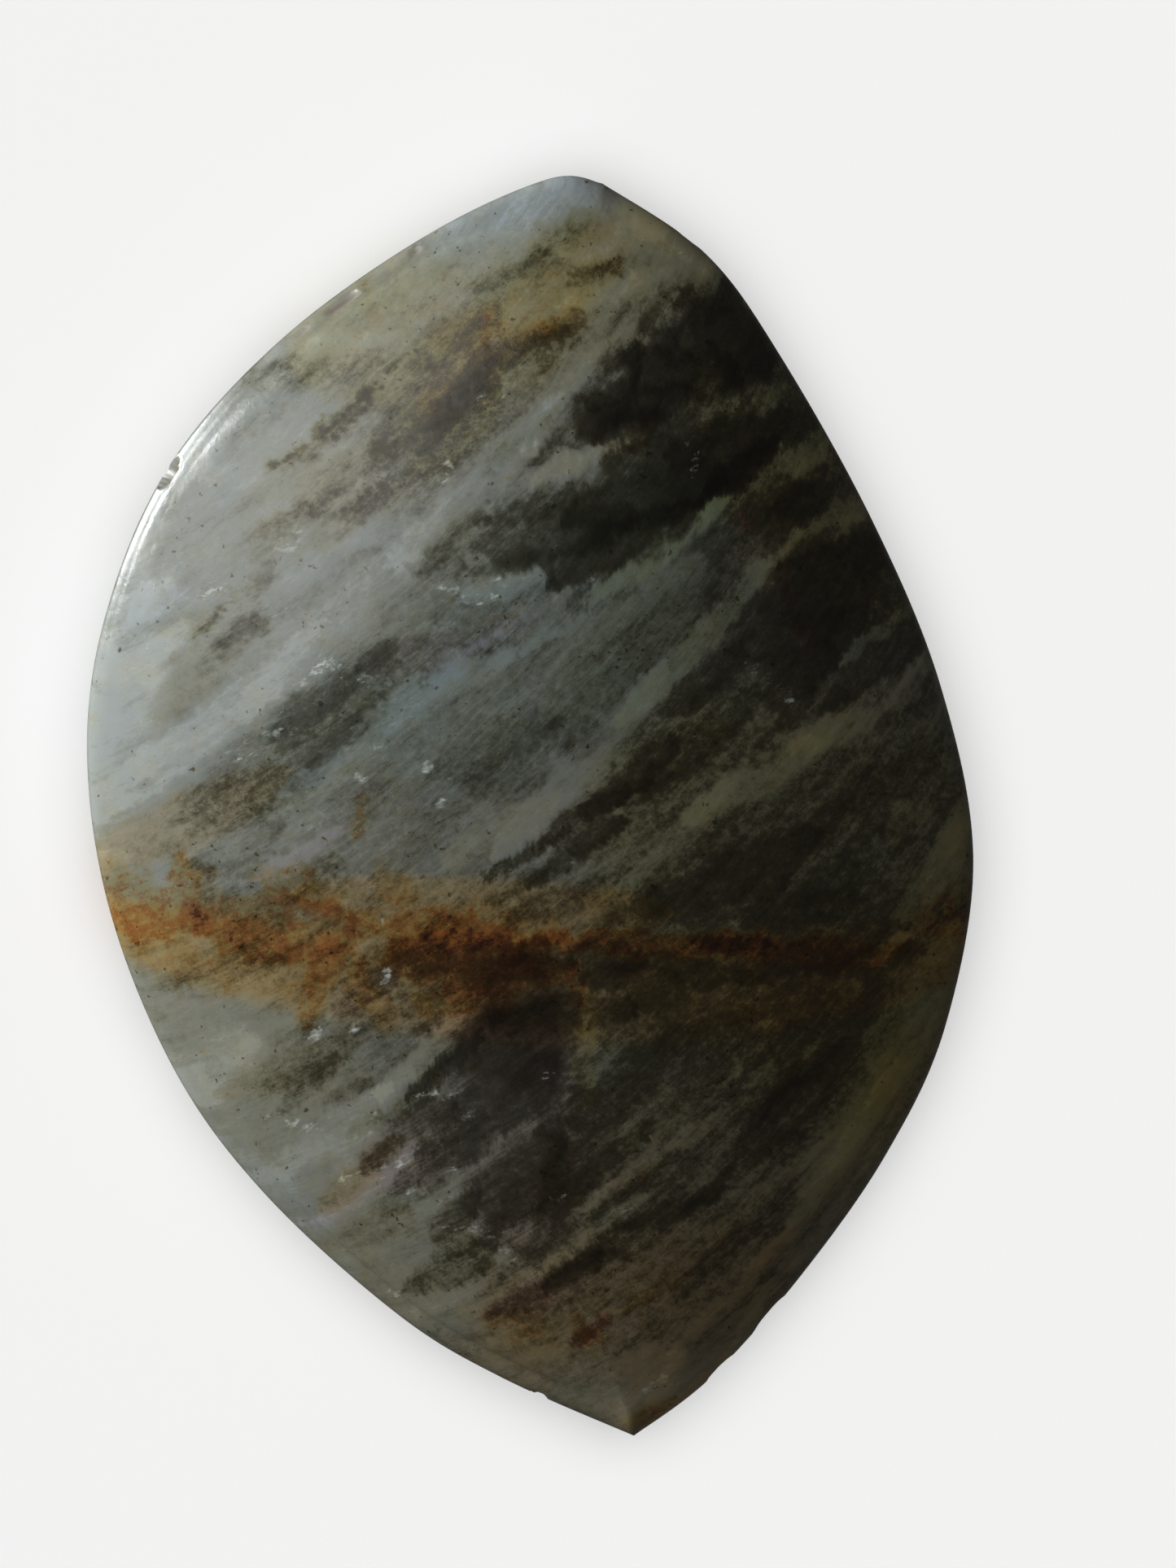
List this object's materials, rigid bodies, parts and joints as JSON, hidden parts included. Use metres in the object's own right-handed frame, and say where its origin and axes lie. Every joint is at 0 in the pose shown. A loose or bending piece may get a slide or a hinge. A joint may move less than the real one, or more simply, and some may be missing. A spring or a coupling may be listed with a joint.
{
  "type": "labradorite stone",
  "caption": "Polished leaf-shaped labradorite cabochon with a low domed top, a steep girdle, a flat back, pale cleavage bands and a rusty iron vein.",
  "frame": {"origin": "On the flat back, at the middle of the stone's length and width.", "axes": "+Y runs along the stone towards its blunt upper tip, -Y towards its sharp lower tip, +X across it, and +Z out of the domed face."},
  "size_m": [0.0282, 0.04, 0.0062],
  "materials": {
    "polished_labradorite": "polished"
  },
  "bodies": {
    "root": {"labradorite_stone": "polished_labradorite"}
  },
  "joints": []
}
